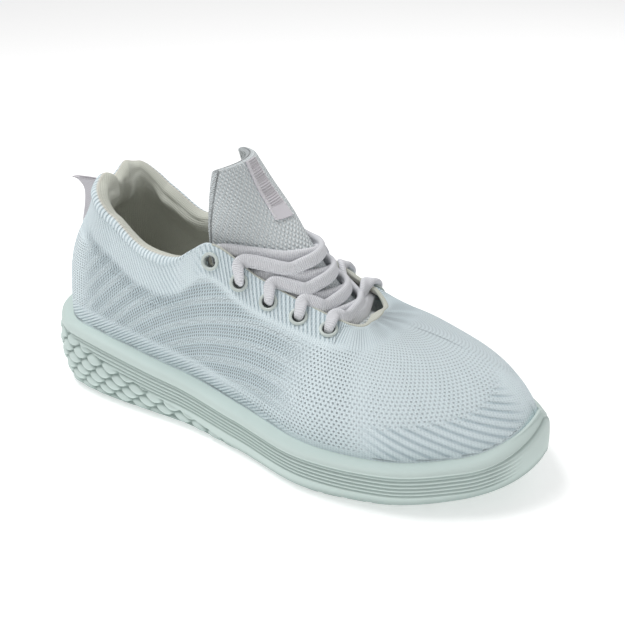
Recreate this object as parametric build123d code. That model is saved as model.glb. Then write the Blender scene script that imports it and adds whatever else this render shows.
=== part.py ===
from build123d import *
import math
import os

# Right running shoe, millimetres. +X is the toe, +Y the medial (inner) side, +Z up.
# The origin is on the ground, at the middle of the sole's length and width.

# ---- driving sizes ----
sole_length = 285.0
sole_width = 109.0
outsole_thickness = 2.6
strobel_thickness = 1.4
insole_thickness = 4.4
insole_cloth_thickness = 0.7
knit_thickness = 2.2
stiffener_thickness = 1.1       # heel counter and toe puff
eyestay_thickness = 0.9
foam_thickness = 4.6            # collar padding
lining_thickness = 0.9
bond_gap = 0.15                 # glue line between bonded layers
seat_wall = 7.4                 # from the widest line of the sole in to the upper
seat_clearance = 0.5            # between the upper and the recess of the midsole
insole_clearance = 2.6          # round the insole, so that it lifts out
heel_fan = 54.5                 # heel end to the centre that the heel walls face
toe_fan = 100.5                 # toe end to the centre that the toe walls face
seam_y = 2.2                    # heel seam, from the middle of the sole
toe_seam_y = 8.0                # centre that the toe walls face
eyelet_count = 5
eyelet_bore = 5.4
eyelet_barrel = 6.5
eyelet_flange = 9.6
eyelet_flange_thickness = 0.9
eyelet_clearance = 0.3
flange_gap = 0.45                # the flat flange over the curved knit
eyelet_stations = (0.447, 0.588)
eyelet_edge = 8.0               # edge of the eyestay to the centre of each eyelet
lace_diameter = 2.4
lace_gap = 0.4
lace_low = lace_diameter / 2 + lace_gap + 1.9
lace_high = lace_low + lace_diameter + 0.6
tip_diameter = 1.8
tip_length = 14.0
tongue_face = 1.2
tongue_foam = 2.8
tongue_back = 0.8
tape_width_share = 0.22         # share of the tongue's half width
tape_thickness = 1.2
flap_range = (0, 1.78)          # section numbers of the tongue's free flap
base_range = (2.02, 6)          # and of its base, with room for the flap to tilt
loop_reach = 20.0               # how far the heel loop stands out at its top
loop_ply = 1.3
loop_depth = 5.4
loop_clearance = 1.8
groove_width = 3.0
groove_depth = 1.6

half_length = sole_length / 2
half_width = sole_width / 2
heel_centre_x = -half_length + heel_fan
toe_centre_x = half_length - toe_fan

# ---- outlines and heights, by station: 0 at the heel seam, 1 at the toe ----
# Reach of the sole's widest line to each side, as a share of half the width.
reach = {
    -1: [(0, 0.04), (0.1, -0.352), (0.2, -0.635), (0.3, -0.703), (0.4, -0.705), (0.5, -0.828),
         (0.6, -1.002), (0.7, -0.892), (0.8, -0.582), (0.9, -0.22), (1, 0.167)],
    1: [(0, 0.04), (0.1, 0.411), (0.2, 0.668), (0.3, 0.745), (0.4, 0.721), (0.5, 0.754),
        (0.6, 0.95), (0.7, 0.998), (0.8, 0.826), (0.9, 0.484), (1, 0.167)],
}
ground_height = [(0, 9.7), (0.1, 2.6), (0.2, 0.3), (0.27, 0), (0.58, 0), (0.67, 1.2), (0.75, 3.6),
                 (0.85, 8.6), (1, 16.9)]
rim_height = [(0, 42.2), (0.25, 39.2), (0.4, 31.3), (0.53, 25.8), (0.66, 24), (0.8, 27), (1, 41.5)]
floor_height = [(0, 31.5), (0.2, 30.5), (0.3, 29.5), (0.4, 27), (0.5, 23), (0.6, 19.5),
                (0.7, 18.5), (0.8, 20), (0.9, 23.5), (1, 27.5)]
# Top edge of the upper: distance from the fan centre, and height.
top_reach = {
    -1: [(0, 26), (0.2, 26.5), (0.29, 26.5), (0.32, 28.5), (0.385, 33), (0.41, 33), (0.425, 30.5),
         (0.44, 26), (0.5, 22), (0.56, 19), (0.6, 17.5), (0.7, 13), (0.78, 8.5), (1, 6)],
    1: [(0, 26), (0.2, 27), (0.29, 28), (0.32, 29.5), (0.385, 32), (0.41, 31.5), (0.425, 29),
        (0.44, 26), (0.5, 22.5), (0.56, 18), (0.6, 15.5), (0.7, 12.5), (0.78, 8.5), (1, 6)],
}
top_height = {
    -1: [(0, 112), (0.1, 114), (0.2, 113), (0.29, 102), (0.35, 91.5), (0.385, 90), (0.41, 93),
         (0.425, 98), (0.44, 102), (0.5, 87.5), (0.56, 76.5), (0.6, 71.5), (0.7, 69), (1, 69)],
    1: [(0, 112), (0.1, 115), (0.2, 117), (0.29, 103), (0.35, 90), (0.385, 90), (0.41, 94),
        (0.425, 99), (0.44, 104), (0.5, 92), (0.56, 81), (0.6, 75), (0.7, 70), (1, 69)],
}
# Shape of the wall between its two edges.
lean = [(0, 2.6), (0.25, 2.4), (0.41, 1.9), (0.46, 1.6), (0.56, 1.4), (0.62, 1.1), (0.7, 0.95), (1, 0.9)]
rise = [(0, 1), (0.45, 1), (0.6, 0.92), (0.75, 0.94), (1, 0.92)]
belly = [(0, 2.5), (0.15, 1.5), (0.3, 1), (0.45, 1), (0.6, 3), (0.8, 1.5), (1, 0.5)]
belly_top = 1.5                 # the belly ends this many times below the top edge
# Tongue: lateral edge, ridge and medial edge of each cross-section, from the top down.
tongue_sections = [
    ((-18, -20, 140), (-16.5, 4, 140), (-34, 25, 137)),
    ((-22, -20, 125), (-7, 4, 125), (-33, 27, 124)),
    ((-28, -16, 104), (8, 4, 109.5), (-31, 22, 106)),
    ((-25, -16, 83), (21, 5, 95), (-25, 22, 85)),
    ((-5, -18, 66), (32, 6, 79), (-4, 29, 68)),
    ((16, -20, 54), (43, 7, 65), (18, 31, 56)),
    ((36, -22, 45), (53, 8, 54), (36, 34, 47)),
]
# Where the tongue passes each row of eyelets, by section number.
tongue_rows = [2.55, 3.1, 3.7, 4.3, 4.9]
tongue_spans = [0.52, 0.5, 0.46, 0.4, 0.3]
# Stations and heights at which every layer of the upper is cut, so that the layers nest.
stations = [0, 0.025, 0.05, 0.075, 0.1, 0.125, 0.15, 0.175, 0.2, 0.225, 0.25, 0.275, 0.3, 0.325,
            0.35, 0.37, 0.385, 0.4, 0.415, 0.425, 0.434, 0.442, 0.45, 0.462, 0.475, 0.49, 0.51,
            0.53, 0.55, 0.575, 0.6, 0.63, 0.66, 0.7, 0.75, 0.8, 0.85, 0.9, 0.95, 1]
levels = [0, 0.04, 0.12, 0.22, 0.32, 0.42, 0.52, 0.6, 0.68, 0.76, 0.84, 0.92, 0.975, 1]
deep = 60.0                     # more than the shoe is wide to either side
tall = 160.0                    # more than the shoe is high


def smooth(table, s):
    # Cubic through the table's points that never overshoots them.
    xs = [p[0] for p in table]
    ys = [p[1] for p in table]
    n = len(xs)
    h = [xs[i + 1] - xs[i] for i in range(n - 1)]
    d = [(ys[i + 1] - ys[i]) / h[i] for i in range(n - 1)]
    m = [d[0]] + [0.0] * (n - 2) + [d[-1]]
    for i in range(1, n - 1):
        if d[i - 1] * d[i] > 0:
            a = 2 * h[i] + h[i - 1]
            b = h[i] + 2 * h[i - 1]
            m[i] = (a + b) / (a / d[i - 1] + b / d[i])
    i = max(0, min(n - 2, sum(1 for x in xs if x <= s) - 1))
    t = (s - xs[i]) / h[i]
    value = (1 + 2 * t) * (1 - t) ** 2 * ys[i] + t * t * (3 - 2 * t) * ys[i + 1]
    return value + t * (1 - t) ** 2 * h[i] * m[i] + t * t * (t - 1) * h[i] * m[i + 1]


def outline(s, side):
    return -half_length * math.cos(math.pi * s), half_width * smooth(reach[side], s)


def station_at(x):
    return math.acos(max(-1, min(1, -x / half_length))) / math.pi


def fan_centre(s):
    x = max(heel_centre_x, min(toe_centre_x, -half_length * math.cos(math.pi * s)))
    middle = (x - heel_centre_x) / (toe_centre_x - heel_centre_x)
    return x, seam_y + (toe_seam_y - seam_y) * middle ** 2


def inset_outline(s, side, inset):
    # A point of the outline, moved in towards its fan centre.
    x, y = outline(s, side)
    cx, cy = fan_centre(s)
    k = 1 - inset / math.hypot(x - cx, y - cy)
    return cx + (x - cx) * k, cy + (y - cy) * k


def wall_profile(s, side, v):
    # Distance from the fan centre and height, v from 0 at the sole to 1 at the top edge.
    x, y = outline(s, side)
    cx, cy = fan_centre(s)
    foot = math.hypot(x - cx, y - cy) - seat_wall
    top = smooth(top_reach[side], s)
    low = smooth(floor_height, s) + bond_gap
    high = smooth(top_height[side], s)
    w = math.pi / 2 * v
    r = top + (foot - top) * max(math.cos(w), 0) ** smooth(lean, s)
    r += smooth(belly, s) * math.sin(math.pi * min(belly_top * v, 1)) ** 3
    z = low + (high - low) * math.sin(w) ** smooth(rise, s)
    return r, z


def wall_point(s, side, v, depth=0.0):
    # A point of the upper's wall, depth mm in from its outer face.
    r, z = wall_profile(s, side, v)
    if depth:
        r0, z0 = wall_profile(s, side, max(v - 0.01, 0))
        r1, z1 = wall_profile(s, side, min(v + 0.01, 1))
        size = math.hypot(r1 - r0, z1 - z0)
        r -= depth * (z1 - z0) / size
        z += depth * (r1 - r0) / size
    x, y = outline(s, side)
    cx, cy = fan_centre(s)
    k = r / math.hypot(x - cx, y - cy)
    return Vector(cx + (x - cx) * k, cy + (y - cy) * k, z)


def wall_wire(s, side, v_range, outer, inner):
    # Closed thin section of a wall layer between two depths.
    vs = [v for v in levels if v_range[0] <= v <= v_range[1]]
    out = [wall_point(s, side, v, outer(v)) for v in vs]
    back = [wall_point(s, side, v, inner(v)) for v in vs]
    edges = [Spline(*out), Line(out[-1], back[-1]), Spline(*reversed(back)), Line(back[0], out[0])]
    return Wire(edges)


def level(depth):
    return lambda v: depth


def slope(low, high, start, end):
    # Depth that goes from low to high as v passes from start to end.
    def depth(v):
        t = max(0, min(1, (v - start) / (end - start)))
        return low + (high - low) * t * t * (3 - 2 * t)
    return depth


def wall_layer(walk, v_range, outer, inner):
    # Layer lofted through sections; walk is a list of (station, side).
    wires = [wall_wire(s, side, v_range, outer, inner) for s, side in walk]
    return Solid.make_loft(wires, True)


def along_side(side, start, end):
    return [(s, side) for s in stations if start <= s <= end]


def round_heel(end):
    return along_side(-1, 0.001, end)[::-1] + along_side(1, 0, end)


def round_toe(start):
    return along_side(-1, start, 0.999) + along_side(1, start, 1)[::-1]


def eyelet_place(i, side):
    # Plane on the upper's face at eyelet i, its normal outwards.
    s = eyelet_station(i)
    v = 1 - eyelet_edge / 50
    for _ in range(12):
        far = (wall_point(s, side, v) - wall_point(s, side, 1)).length
        v = min(0.97, max(0.6, v + (far - eyelet_edge) / 90))
    at = wall_point(s, side, v)
    along = wall_point(s + 0.01, side, v) - wall_point(s - 0.01, side, v)
    up = wall_point(s, side, v + 0.01) - wall_point(s, side, v - 0.01)
    normal = along.cross(up).normalized()
    if normal.Z < 0:
        normal = normal * -1
    return Plane(origin=at, x_dir=along.normalized(), z_dir=normal)


def knit_upper():
    half = [wall_layer(along_side(side, 0, 1), (0, 1), level(0), level(knit_thickness))
            for side in (-1, 1)]
    body = half[0] + half[1]
    for side in (-1, 1):
        body = body - eyelet_holes(side)
    return body


def eyelet_holes(side):
    drill = Cylinder((eyelet_barrel + eyelet_clearance) / 2, 14)
    return [eyelet_place(i, side).location * drill for i in range(eyelet_count)]


def eyestay(side):
    outer = knit_thickness + bond_gap
    layer = wall_layer(along_side(side, 0.434, 0.6), (0.68, 0.975), level(outer),
                       level(outer + eyestay_thickness))
    return layer - eyelet_holes(side)


def eyelets(side):
    barrel_length = knit_thickness + eyestay_thickness + 2 * bond_gap
    flange = Pos(0, 0, flange_gap) * Cylinder(eyelet_flange / 2, eyelet_flange_thickness,
                                       align=(Align.CENTER, Align.CENTER, Align.MIN))
    barrel = Cylinder(eyelet_barrel / 2, barrel_length + flange_gap,
                      align=(Align.CENTER, Align.CENTER, Align.MIN))
    ring = flange + Pos(0, 0, -barrel_length) * barrel - Cylinder(eyelet_bore / 2, 20)
    return [eyelet_place(i, side).location * ring for i in range(eyelet_count)]


def eyelet_washers(side):
    depth = knit_thickness + eyestay_thickness + 2 * bond_gap + 0.6
    ring = Cylinder(eyelet_flange / 2 - 0.6, 0.5) - Cylinder(eyelet_bore / 2, 2)
    ring = Pos(0, 0, -depth) * ring
    return [eyelet_place(i, side).location * ring for i in range(eyelet_count)]


def heel_counter():
    outer = knit_thickness + bond_gap
    return wall_layer(round_heel(0.35), (0.04, 0.52), level(outer),
                      level(outer + stiffener_thickness))


def toe_puff():
    outer = knit_thickness + bond_gap
    return wall_layer(round_toe(0.8), (0.04, 0.52), level(outer),
                      level(outer + stiffener_thickness))


def collar_foam():
    outer = knit_thickness + bond_gap
    return wall_layer(round_heel(0.415), (0.6, 0.975), level(outer),
                      slope(outer + 1.6, outer + foam_thickness, 0.6, 0.76))


def collar_lining():
    low = knit_thickness + stiffener_thickness + 2 * bond_gap
    high = knit_thickness + foam_thickness + 2 * bond_gap
    return wall_layer(round_heel(0.425), (0.04, 0.975), slope(low, high, 0.52, 0.76),
                      slope(low + lining_thickness, high + lining_thickness, 0.52, 0.76))


def plan_wire(inset, z=0.0):
    # Closed outline of the sole, moved in by inset.
    steps = 18
    loop = [inset_outline(i / steps, -1, inset) for i in range(steps + 1)]
    loop += [inset_outline(1 - i / steps, 1, inset) for i in range(1, steps)]
    return Wire([Spline(*[Vector(x, y, z) for x, y in loop], periodic=True)])


def prism(inset, low=-5.0, high=tall):
    return extrude(Face(plan_wire(inset, low)), amount=high - low, dir=(0, 0, 1))


def side_band(low_table, low_offset, high_table, high_offset, x_range=None):
    # Everything between two height curves, right through the shoe from side to side.
    x_low, x_high = x_range or (-half_length - 4, half_length + 4)
    xs = [x_low + (x_high - x_low) * i / 30 for i in range(31)]
    low = [Vector(x, -deep - 20, smooth(low_table, station_at(x)) + low_offset) for x in xs]
    high = [Vector(x, -deep - 20, smooth(high_table, station_at(x)) + high_offset) for x in xs]
    edges = [Spline(*low), Line(low[-1], high[-1]), Spline(*reversed(high)), Line(high[0], low[0])]
    return extrude(Face(Wire(edges)), amount=2 * deep + 40, dir=(0, 1, 0))


def midsole():
    rings = [plan_wire(5.0, -2), plan_wire(0.0, 16), plan_wire(4.0, 46)]
    block = Solid.make_loft(rings)
    block = block & side_band(ground_height, outsole_thickness + bond_gap, rim_height, 0)
    recess = prism(seat_wall - seat_clearance)
    recess = recess & side_band(floor_height, 0, floor_height, 60)
    waist = groove_box(-28, 24, 40, 2.2)
    return block - recess - waist


def groove_box(x, length, width, height):
    # A shallow channel across the bottom of the sole.
    z = outsole_thickness + bond_gap
    return Pos(x, 0, z) * Box(length, width, 2 * height)


def tread(x_range, groove_xs, split):
    # Rubber pad, cut flat at the ground, with cross grooves and, where split, a slot along it.
    pad = prism(6.0) & side_band(ground_height, -0.15, ground_height, outsole_thickness, x_range)
    pad = pad & Pos(0, 0, tall / 2) * Box(2 * tall, 2 * deep, tall)
    for x in groove_xs:
        z = smooth(ground_height, station_at(x))
        pad = pad - Pos(x, 0, z) * Box(groove_width, 2 * deep, 2 * groove_depth)
    if split:
        x = (x_range[0] + x_range[1]) / 2
        slot = Box(x_range[1] - x_range[0] - split, 13, 60)
        pad = pad - Pos(x + split / 2 + 1, seam_y, 0) * slot
    return pad


def outsole_heel():
    xs = [-half_length + 24 + 11 * i for i in range(5)]
    return tread((-half_length - 2, -half_length + 86), xs, 34)


def outsole_forefoot():
    xs = [16 + 12 * i for i in range(7)]
    return tread((-2, 100), xs, 0)


def outsole_toe():
    return tread((102, half_length + 2), [114, 126], 0)


def strobel_board():
    # Flat fabric board that closes the upper's bottom, inside the wall's foot.
    board = prism(seat_wall + knit_thickness + stiffener_thickness + lining_thickness + 1.0)
    return board & side_band(floor_height, bond_gap, floor_height, bond_gap + strobel_thickness)


def insole_layer(low, high):
    inset = (seat_wall + knit_thickness + stiffener_thickness + lining_thickness
             + 2 * bond_gap + insole_clearance)
    return prism(inset) & side_band(floor_height, low, floor_height, high)


def insole_foam():
    low = bond_gap + strobel_thickness + 0.35
    return insole_layer(low, low + insole_thickness)


def insole_cloth():
    low = bond_gap + strobel_thickness + 0.35 + insole_thickness + bond_gap
    return insole_layer(low, low + insole_cloth_thickness)


def tongue_frame(k):
    # Edges and ridge of the tongue at a section number, which may be a fraction.
    last = len(tongue_sections) - 1
    i = max(0, min(last - 1, int(math.floor(k))))
    t = k - i
    before = tongue_sections[max(i - 1, 0)]
    after = tongue_sections[min(i + 2, last)]
    here, there = tongue_sections[i], tongue_sections[i + 1]
    out = []
    for j in range(3):
        a, b, c, d = (Vector(*q[j]) for q in (before, here, there, after))
        out.append((b * 2 + (c - a) * t + (a * 2 - b * 5 + c * 4 - d) * t ** 2
                    + (b * 3 - a - c * 3 + d) * t ** 3) * 0.5)
    return out


def tongue_point(k, w, depth=0.0):
    # w runs from -1 at the lateral edge through 0 on the ridge to 1 at the medial edge.
    left, ridge, right = tongue_frame(k)
    middle = (left + right) * 0.5
    across = right - left
    crown = ridge - middle
    crown = crown - across * (crown.dot(across) / across.dot(across))
    at = middle + across * (w / 2) + crown * (1 - abs(w) ** 2.2)
    if not depth:
        return at
    lean_in = crown.normalized() if crown.length > 3 else Vector(0.8, 0, 0.6)
    turn = crown.length * 2.2 * abs(w) ** 1.2 / (across.length / 2) * (1 if w > 0 else -1)
    normal = (lean_in + across.normalized() * turn).normalized()
    return at - normal * depth


def tongue_layer(k_range, w_range, outer, inner):
    # Layer of the tongue between two depths, lofted from section to section.
    steps = max(4, int(round(3 * (k_range[1] - k_range[0]))))
    wires = []
    for i in range(steps + 1):
        k = k_range[0] + (k_range[1] - k_range[0]) * i / steps
        ws = [w_range[0] + (w_range[1] - w_range[0]) * j / 8 for j in range(9)]
        out = [tongue_point(k, w, outer) for w in ws]
        back = [tongue_point(k, w, inner) for w in ws]
        edges = [Spline(*out), Line(out[-1], back[-1]), Spline(*reversed(back)),
                 Line(back[0], out[0])]
        wires.append(Wire(edges))
    return Solid.make_loft(wires)


def tongue_pieces(name, k_range):
    depths = [("face", 0, tongue_face), ("foam", tongue_face + bond_gap, tongue_face + tongue_foam),
              ("backing", tongue_face + tongue_foam + bond_gap,
               tongue_face + tongue_foam + tongue_back + bond_gap)]
    return {f"tongue_{name}_{piece}": tongue_layer(k_range, (-1, 1), low, high)
            for piece, low, high in depths}


def lace_strand(row, side, lift):
    # From above eyelet row on one side, over the tongue, to inside the next eyelet up.
    to = row - 1
    start, end = eyelet_place(row, side), eyelet_place(to, -side)
    over = lace_diameter / 2 + lace_gap
    inside = knit_thickness + eyestay_thickness + 4 * bond_gap + over
    place = eyelet_station(row)
    other = eyelet_station(to)
    points = [start.origin + start.z_dir * (eyelet_flange_thickness + over + lace_gap + 1.1),
              wall_point(place - 0.003, side, 1, -over - lace_gap - 1.7)]
    reach_out, reach_in = tongue_spans[row], tongue_spans[to]
    for w in (-reach_out, -0.35 * reach_out, 0.35 * reach_in, reach_in):
        k = tongue_rows[row] + (tongue_rows[to] - tongue_rows[row]) * (w + 1) / 2
        points.append(tongue_point(k, -side * w, -lift))
    points.append(wall_point(other + 0.003, -side, 0.97, inside + 1.2))
    points.append(end.origin - end.z_dir * (inside + 1.6))
    return points


def eyelet_station(i):
    first, last = eyelet_stations
    return first + (last - first) * i / (eyelet_count - 1)


def lace_half(side):
    # One half of the lace, from under the bottom bar up to its tucked end.
    points = []
    inside = knit_thickness + eyestay_thickness + 4 * bond_gap + lace_diameter / 2 + lace_gap
    for row in range(eyelet_count - 1, 0, -1):
        points += lace_strand(row, side, lace_high if side < 0 else lace_low)
        side = -side
    tuck = wall_point(eyelet_station(0) + 0.003, side, 0.97, inside)
    return points[:-2] + [tuck]


def lace_route():
    bottom = eyelet_count - 1
    inside = knit_thickness + eyestay_thickness + 4 * bond_gap + lace_diameter / 2 + lace_gap
    bar = []
    for side in (-1, 1):
        place = eyelet_place(bottom, side)
        bar.append([place.origin - place.z_dir * (inside + 1.6),
                    wall_point(eyelet_station(bottom), side, 0.97, inside + 1.4)])
    middle = [tongue_point(tongue_rows[bottom], w, -lace_low) for w in (-0.2, 0.2)]
    lateral = list(reversed(lace_half(-1)))
    return lateral + bar[0] + middle + list(reversed(bar[1])) + lace_half(1)


def rounded(points):
    # Tangent arcs as large as the runs allow, one at each corner.
    radii = []
    for a, b, c in zip(points, points[1:], points[2:]):
        turn = math.radians((b - a).get_angle(c - b))
        run = min((b - a).length, (c - b).length)
        radii.append(min(0.36 * run / math.tan(max(turn, 0.02) / 2), 80))
    return FilletPolyline(*points, radius=radii)


def lace():
    points = lace_route()
    path = rounded(points)
    section = Plane(origin=path @ 0, z_dir=path % 0) * Circle(lace_diameter / 2)
    body = sweep(section, path=path)
    print("lace length", round(path.length, 1), "volume share",
          round(body.volume / (path.length * math.pi * lace_diameter ** 2 / 4), 3))
    return body


def lace_tips():
    # Hard ends of the lace, tucked under the eyestays.
    points = lace_route()
    tips = []
    for end, before in ((points[0], points[1]), (points[-1], points[-2])):
        way = (end - before).normalized()
        core = Cylinder(tip_diameter / 2, tip_length,
                        align=(Align.CENTER, Align.CENTER, Align.MIN))
        tips.append(Plane(origin=end + way * bond_gap, z_dir=way).location * core)
    return tips


def tongue_tape():
    return tongue_layer((0.02, flap_range[1] - 0.02), (-tape_width_share, tape_width_share),
                        -bond_gap - tape_thickness, -bond_gap)


def heel_loop():
    # Folded ribbon that stands off the heel seam as a fin, open at its top and bottom.
    low = wall_point(0, -1, 0.42, -loop_clearance)
    high = wall_point(0, -1, 0.985, -loop_clearance)
    tip = Vector(high.X - loop_reach, 0, high.Z - 1.5)
    heel_line = [Vector(p.X, seam_y - loop_depth / 2, p.Z) for p in (low, high, tip)]
    fin = extrude(Face(Wire.make_polygon(heel_line)), amount=loop_depth, dir=(0, 1, 0))
    fold = (heel_line[0] - heel_line[2]).normalized()
    inside = [heel_line[0] + Vector(3, 0, -6), heel_line[1] + Vector(3, 0, 6),
              heel_line[2] - fold * 6 + Vector(2 * loop_ply, 0, 0),
              heel_line[0] + fold * 6 + Vector(2 * loop_ply, 0, 0)]
    inside = [p + Vector(0, loop_ply, 0) for p in inside]
    hollow = extrude(Face(Wire.make_polygon(inside)), amount=loop_depth - 2 * loop_ply,
                     dir=(0, 1, 0))
    return fin - hollow


def write(name, shape):
    solids = shape if isinstance(shape, list) else [shape]
    bodies = []
    for item in solids:
        bodies += item.solids()
    export_step(Compound(children=bodies) if len(bodies) > 1 else bodies[0],
                f"parts/{name}.step")
    print(name, len(bodies), round(sum(b.volume for b in bodies) / 1000, 2), "cm3",
          "valid" if all(b.is_valid for b in bodies) else "INVALID")


os.makedirs("parts", exist_ok=True)
pieces = {
    "midsole": midsole(),
    "outsole_heel": outsole_heel(),
    "outsole_forefoot": outsole_forefoot(),
    "outsole_toe": outsole_toe(),
    "strobel_board": strobel_board(),
    "insole_foam": insole_foam(),
    "insole_cloth": insole_cloth(),
    "knit_upper": knit_upper(),
    "heel_counter": heel_counter(),
    "toe_puff": toe_puff(),
    "collar_foam": collar_foam(),
    "collar_lining": collar_lining(),
    "eyestay_lateral": eyestay(-1),
    "eyestay_medial": eyestay(1),
    "eyelets_lateral": eyelets(-1),
    "eyelets_medial": eyelets(1),
    "eyelet_washers_lateral": eyelet_washers(-1),
    "eyelet_washers_medial": eyelet_washers(1),
    "heel_loop": heel_loop(),
    "lace": lace(),
    "lace_tips": lace_tips(),
    "tongue_tape": tongue_tape(),
}
pieces.update(tongue_pieces("flap", flap_range))
pieces.update(tongue_pieces("base", base_range))
for node_name, node_shape in pieces.items():
    write(node_name, node_shape)
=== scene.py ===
import math
import bmesh
import bpy
import numpy as np
from mathutils import Matrix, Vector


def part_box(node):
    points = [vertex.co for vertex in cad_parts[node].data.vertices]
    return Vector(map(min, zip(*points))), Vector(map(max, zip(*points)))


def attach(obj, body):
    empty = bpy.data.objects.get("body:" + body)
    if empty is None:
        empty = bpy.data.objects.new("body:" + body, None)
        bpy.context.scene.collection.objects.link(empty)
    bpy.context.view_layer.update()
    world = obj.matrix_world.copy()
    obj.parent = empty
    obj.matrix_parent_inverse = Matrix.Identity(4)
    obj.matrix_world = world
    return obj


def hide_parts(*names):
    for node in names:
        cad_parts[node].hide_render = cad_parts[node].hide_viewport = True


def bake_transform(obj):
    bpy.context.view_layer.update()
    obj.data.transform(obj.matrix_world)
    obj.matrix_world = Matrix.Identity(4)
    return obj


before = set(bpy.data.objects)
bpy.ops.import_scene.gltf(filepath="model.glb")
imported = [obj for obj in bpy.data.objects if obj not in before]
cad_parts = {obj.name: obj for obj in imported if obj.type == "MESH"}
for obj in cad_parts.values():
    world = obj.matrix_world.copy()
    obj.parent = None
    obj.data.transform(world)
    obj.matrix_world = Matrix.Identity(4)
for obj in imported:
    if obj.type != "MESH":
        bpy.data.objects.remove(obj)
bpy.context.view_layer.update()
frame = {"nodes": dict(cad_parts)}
print("frame loaded")

# Shapes are worked out in millimetres, +X the toe, +Y the inner side, +Z up,
# and become metres when a mesh is made.
millimetre = 0.001
midsoleLow, midsoleHigh = (np.array(corner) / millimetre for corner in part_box("midsole"))

last = {
    "length": round(midsoleHigh[0] - midsoleLow[0]),    # heel to toe
    "width": 109.0,
    "seatWall": 7.4,            # widest line of the sole in to the upper
    "heelFan": 54.5,            # heel end to the centre that the heel walls face
    "toeFan": 100.5,
    "seamY": 2.2,               # heel seam
    "toeSeamY": 8.0,
    # share of half the width at which the sole's widest line runs, by station
    "outer": [(0, .04), (.1, -.352), (.2, -.635), (.3, -.703), (.4, -.705), (.5, -.828),
              (.6, -1.002), (.7, -.892), (.8, -.582), (.9, -.22), (1, .167)],
    "inner": [(0, .04), (.1, .411), (.2, .668), (.3, .745), (.4, .721), (.5, .754),
              (.6, .95), (.7, .998), (.8, .826), (.9, .484), (1, .167)],
    "ground": [(0, 9.7), (.1, 2.6), (.2, .3), (.27, 0), (.58, 0), (.67, 1.2), (.75, 3.6),
               (.85, 8.6), (1, 16.9)],
    "rim": [(0, 42.2), (.25, 39.2), (.4, 31.3), (.53, 25.8), (.66, 24), (.8, 27), (1, 41.5)],
    "floor": [(0, 31.5), (.2, 30.5), (.3, 29.5), (.4, 27), (.5, 23), (.6, 19.5), (.7, 18.5),
              (.8, 20), (.9, 23.5), (1, 27.5)],
    # top edge of the upper: distance from the fan centre, and height
    "outerTop": [(0, 26), (.2, 26.5), (.29, 26.5), (.32, 28.5), (.385, 33), (.41, 33),
                 (.425, 30.5), (.44, 26), (.5, 22), (.56, 19), (.6, 17.5), (.7, 13),
                 (.78, 8.5), (1, 6)],
    "innerTop": [(0, 26), (.2, 27), (.29, 28), (.32, 29.5), (.385, 32), (.41, 31.5),
                 (.425, 29), (.44, 26), (.5, 22.5), (.56, 18), (.6, 15.5), (.7, 12.5),
                 (.78, 8.5), (1, 6)],
    "outerHigh": [(0, 112), (.1, 114), (.2, 113), (.29, 102), (.35, 91.5), (.385, 90),
                  (.41, 93), (.425, 98), (.44, 102), (.5, 87.5), (.56, 76.5), (.6, 71.5),
                  (.7, 69), (1, 69)],
    "innerHigh": [(0, 112), (.1, 115), (.2, 117), (.29, 103), (.35, 90), (.385, 90),
                  (.41, 94), (.425, 99), (.44, 104), (.5, 92), (.56, 81), (.6, 75),
                  (.7, 70), (1, 69)],
    "lean": [(0, 2.6), (.25, 2.4), (.41, 1.9), (.46, 1.6), (.56, 1.4), (.62, 1.1),
             (.7, .95), (1, .9)],
    "rise": [(0, 1), (.45, 1), (.6, .92), (.75, .94), (1, .92)],
    "waist": [(0, 6), (.1, 5), (.2, 2), (.27, 0), (1, 0)],     # heel drawn in under the collar
    "belly": [(0, 2.5), (.15, 1.5), (.3, 1), (.45, 1), (.6, 3), (.8, 1.5), (1, .5)],
}
halfLength = last["length"] / 2
halfWidth = last["width"] / 2
heelCentre = -halfLength + last["heelFan"]
toeCentre = halfLength - last["toeFan"]


def smooth(table, s):
    # Monotone cubic: each span's end slopes are weighted harmonic means of the chords beside them.
    xs, ys = np.array(table, float).T
    step = np.diff(xs)
    chord = np.diff(ys) / step
    before, after = chord[:-1], chord[1:]
    wideA = 2 * step[1:] + step[:-1]
    wideB = step[1:] + 2 * step[:-1]
    same = before * after > 0
    mean = (wideA + wideB) / (wideA / np.where(same, before, 1) + wideB / np.where(same, after, 1))
    slope = np.concatenate(([chord[0]], np.where(same, mean, 0), [chord[-1]]))
    i = np.clip(np.searchsorted(xs, s, side="right") - 1, 0, len(xs) - 2)
    t = (s - xs[i]) / step[i]
    value = (1 + 2 * t) * (1 - t) ** 2 * ys[i] + t * t * (3 - 2 * t) * ys[i + 1]
    return value + t * (1 - t) ** 2 * step[i] * slope[i] + t * t * (t - 1) * step[i] * slope[i + 1]


def ramp(x, low, high):
    # 0 below low, 1 above high, and 3t^2 - 2t^3 between.
    t = np.clip((x - low) / (high - low), 0, 1)
    return t * t * (3 - 2 * t)


def bySide(side, outerTable, innerTable, s):
    return np.where(side < 0, smooth(last[outerTable], s), smooth(last[innerTable], s))


def outline(s, side):
    # Widest line of the sole: x = -L/2 cos(pi s), y = half width times the side's reach.
    return -halfLength * np.cos(math.pi * s), halfWidth * bySide(side, "outer", "inner", s)


def fan(s):
    # Centre that the wall at station s faces: the outline's own x, held between two ends.
    x = np.clip(-halfLength * np.cos(math.pi * s), heelCentre, toeCentre)
    share = (x - heelCentre) / (toeCentre - heelCentre)
    return x, last["seamY"] + (last["toeSeamY"] - last["seamY"]) * share ** 2


def planWay(s, side):
    # Fan centre, unit direction to the outline, and the distance between them.
    x, y = outline(s, side)
    cx, cy = fan(s)
    far = np.hypot(x - cx, y - cy)
    return cx, cy, (x - cx) / far, (y - cy) / far, far


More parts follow.
